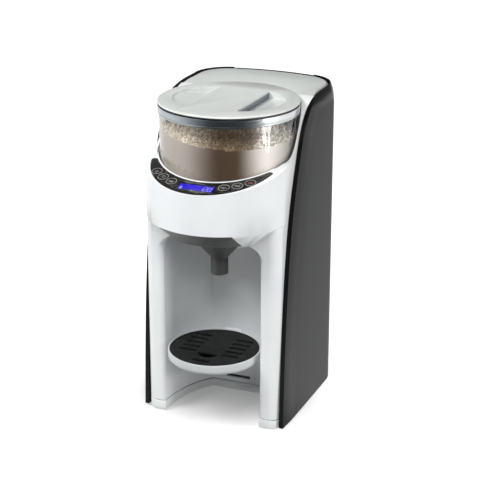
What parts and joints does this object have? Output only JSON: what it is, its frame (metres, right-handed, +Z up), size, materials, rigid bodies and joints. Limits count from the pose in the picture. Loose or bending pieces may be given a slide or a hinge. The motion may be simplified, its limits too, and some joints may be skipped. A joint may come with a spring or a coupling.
{
  "type": "baby formula maker",
  "caption": "Countertop machine that mixes powder from a clear hopper with warm water and pours it through a funnel into a bottle in its bay.",
  "frame": {"origin": "middle of the footprint on the table", "axes": "+X the machine's right, -Y its front, +Z up"},
  "size_m": [0.176, 0.248, 0.37],
  "materials": {
    "white_gloss": "glossy",
    "dark_side": "satin",
    "grey_ring": "satin",
    "clear_container": "clear",
    "smoky_tank": "clear",
    "rubber_dark": "matte",
    "powder": "rough",
    "wheel_grey": "satin",
    "inner_plastic": "satin",
    "gear_plastic": "satin",
    "steel": "brushed",
    "brass": "turned",
    "aluminium": "cast",
    "panel_black": "glossy",
    "display_blue": "lit",
    "board_green": "satin",
    "button_black": "glossy",
    "funnel_grey": "satin",
    "grid_black": "satin",
    "hose_clear": "satin"
  },
  "bodies": {
    "base": {"front_shell": "white_gloss", "base_skirt": "white_gloss", "side_cover_left": "dark_side", "side_cover_right": "dark_side", "rear_cover": "dark_side", "cord_gland": "rubber_dark", "base_plate": "inner_plastic", "rubber_feet": "rubber_dark", "screws": "steel", "shaft_bush": "brass", "powder_motor": "steel", "drive_deck": "inner_plastic", "control_panel": "panel_black", "keypad_mat": "rubber_dark", "display_board": "board_green", "lcd_window": "display_blue", "lcd_module": "inner_plastic", "tank_shelf": "inner_plastic", "valve_seat": "inner_plastic", "back_frame": "steel", "water_pump": "inner_plastic", "water_heater": "aluminium", "main_board": "board_green", "water_spout": "inner_plastic", "heater_hose": "hose_clear", "spout_hose": "hose_clear", "inlet_hose": "hose_clear"},
    "container": {"hopper": "clear_container", "hopper_ring": "grey_ring", "formula_powder": "powder"},
    "lid_joint": {"lid_seal": "rubber_dark"},
    "lid": {"hopper_lid": "white_gloss"},
    "wheel": {"mixing_wheel": "wheel_grey"},
    "drive": {"drive_gear": "gear_plastic", "drive_shaft": "steel", "drive_coupling": "wheel_grey"},
    "pinion": {"motor_pinion": "brass", "pinion_shaft": "steel"},
    "drawer": {"funnel_cover": "funnel_grey", "funnel": "funnel_grey"},
    "tray": {"drip_tray": "white_gloss", "tray_bracket": "white_gloss"},
    "grid": {"drip_grid": "grid_black"},
    "tank": {"water_tank": "smoky_tank", "tank_lid_pin": "steel", "tank_valve": "inner_plastic", "tank_seal": "rubber_dark", "valve_bridge": "inner_plastic", "valve_spring": "steel"},
    "deck": {"tank_lid": "white_gloss"},
    "plunger": {"valve_plunger": "inner_plastic"},
    "key_1": {"button_1": "button_black"},
    "key_2": {"button_2": "button_black"},
    "key_3": {"button_3": "button_black"},
    "key_4": {"button_4": "button_black"},
    "key_5": {"button_5": "button_black"},
    "key_6": {"button_6": "button_black"}
  },
  "joints": [
    {"name": "hopper_lift", "type": "slide", "parent": "base", "child": "container", "axis": [0, 0, 1], "range_m": [0, 0.09]},
    {"name": "lid_lift", "type": "slide", "parent": "container", "child": "lid_joint", "axis": [0, 0, 1], "range_m": [0, 0.05]},
    {"name": "lid_turn", "type": "hinge", "parent": "lid_joint", "child": "lid", "pos_m": [0, -0.018, 0.3654], "axis": [0, 0, 1], "range_deg": [0, 25]},
    {"name": "drive_turn", "type": "hinge", "parent": "base", "child": "drive", "pos_m": [0, -0.018, 0.261], "axis": [0, 0, 1], "continuous": true},
    {"name": "pinion_turn", "type": "hinge", "parent": "base", "child": "pinion", "pos_m": [0.02753, 0.02132, 0.261], "axis": [0, 0, 1], "continuous": true},
    {"name": "wheel_turn", "type": "hinge", "parent": "container", "child": "wheel", "pos_m": [0, -0.018, 0.29], "axis": [0, 0, 1], "continuous": true},
    {"name": "funnel_slide", "type": "slide", "parent": "base", "child": "drawer", "axis": [0, -1, 0], "range_m": [0, 0.11]},
    {"name": "tray_pull", "type": "slide", "parent": "base", "child": "tray", "axis": [0, -1, 0], "range_m": [0, 0.08]},
    {"name": "grid_lift", "type": "slide", "parent": "tray", "child": "grid", "axis": [0, 0, 1], "range_m": [0, 0.03]},
    {"name": "tank_lift", "type": "slide", "parent": "base", "child": "tank", "axis": [0, 0, 1], "range_m": [0, 0.12]},
    {"name": "deck_open", "type": "hinge", "parent": "tank", "child": "deck", "pos_m": [0, 0.1113, 0.3653], "axis": [-1, 0, 0], "range_deg": [0, 45]},
    {"name": "plunger_push", "type": "slide", "parent": "tank", "child": "plunger", "axis": [0, 0, 1], "range_m": [0, 0.003], "stiffness_N_per_m": 250, "springref_m": -0.003, "deforming": ["valve_spring"]},
    {"name": "key_1_press", "type": "slide", "parent": "base", "child": "key_1", "axis": [0, 0.2588, -0.9659], "range_m": [0, 0.0006], "stiffness_N_per_m": 900, "springref_m": -0.0002},
    {"name": "key_2_press", "type": "slide", "parent": "base", "child": "key_2", "axis": [0, 0.2588, -0.9659], "range_m": [0, 0.0006], "stiffness_N_per_m": 900, "springref_m": -0.0002},
    {"name": "key_3_press", "type": "slide", "parent": "base", "child": "key_3", "axis": [0, 0.2588, -0.9659], "range_m": [0, 0.0006], "stiffness_N_per_m": 900, "springref_m": -0.0002},
    {"name": "key_4_press", "type": "slide", "parent": "base", "child": "key_4", "axis": [0, 0.2588, -0.9659], "range_m": [0, 0.0006], "stiffness_N_per_m": 900, "springref_m": -0.0002},
    {"name": "key_5_press", "type": "slide", "parent": "base", "child": "key_5", "axis": [0, 0.2588, -0.9659], "range_m": [0, 0.0006], "stiffness_N_per_m": 900, "springref_m": -0.0002},
    {"name": "key_6_press", "type": "slide", "parent": "base", "child": "key_6", "axis": [0, 0.2588, -0.9659], "range_m": [0, 0.0006], "stiffness_N_per_m": 900, "springref_m": -0.0002}
  ],
  "couplings": [
    {"joint": "pinion_turn", "follows": "drive_turn", "ratio": -3},
    {"joint": "wheel_turn", "follows": "drive_turn", "ratio": 1}
  ]
}
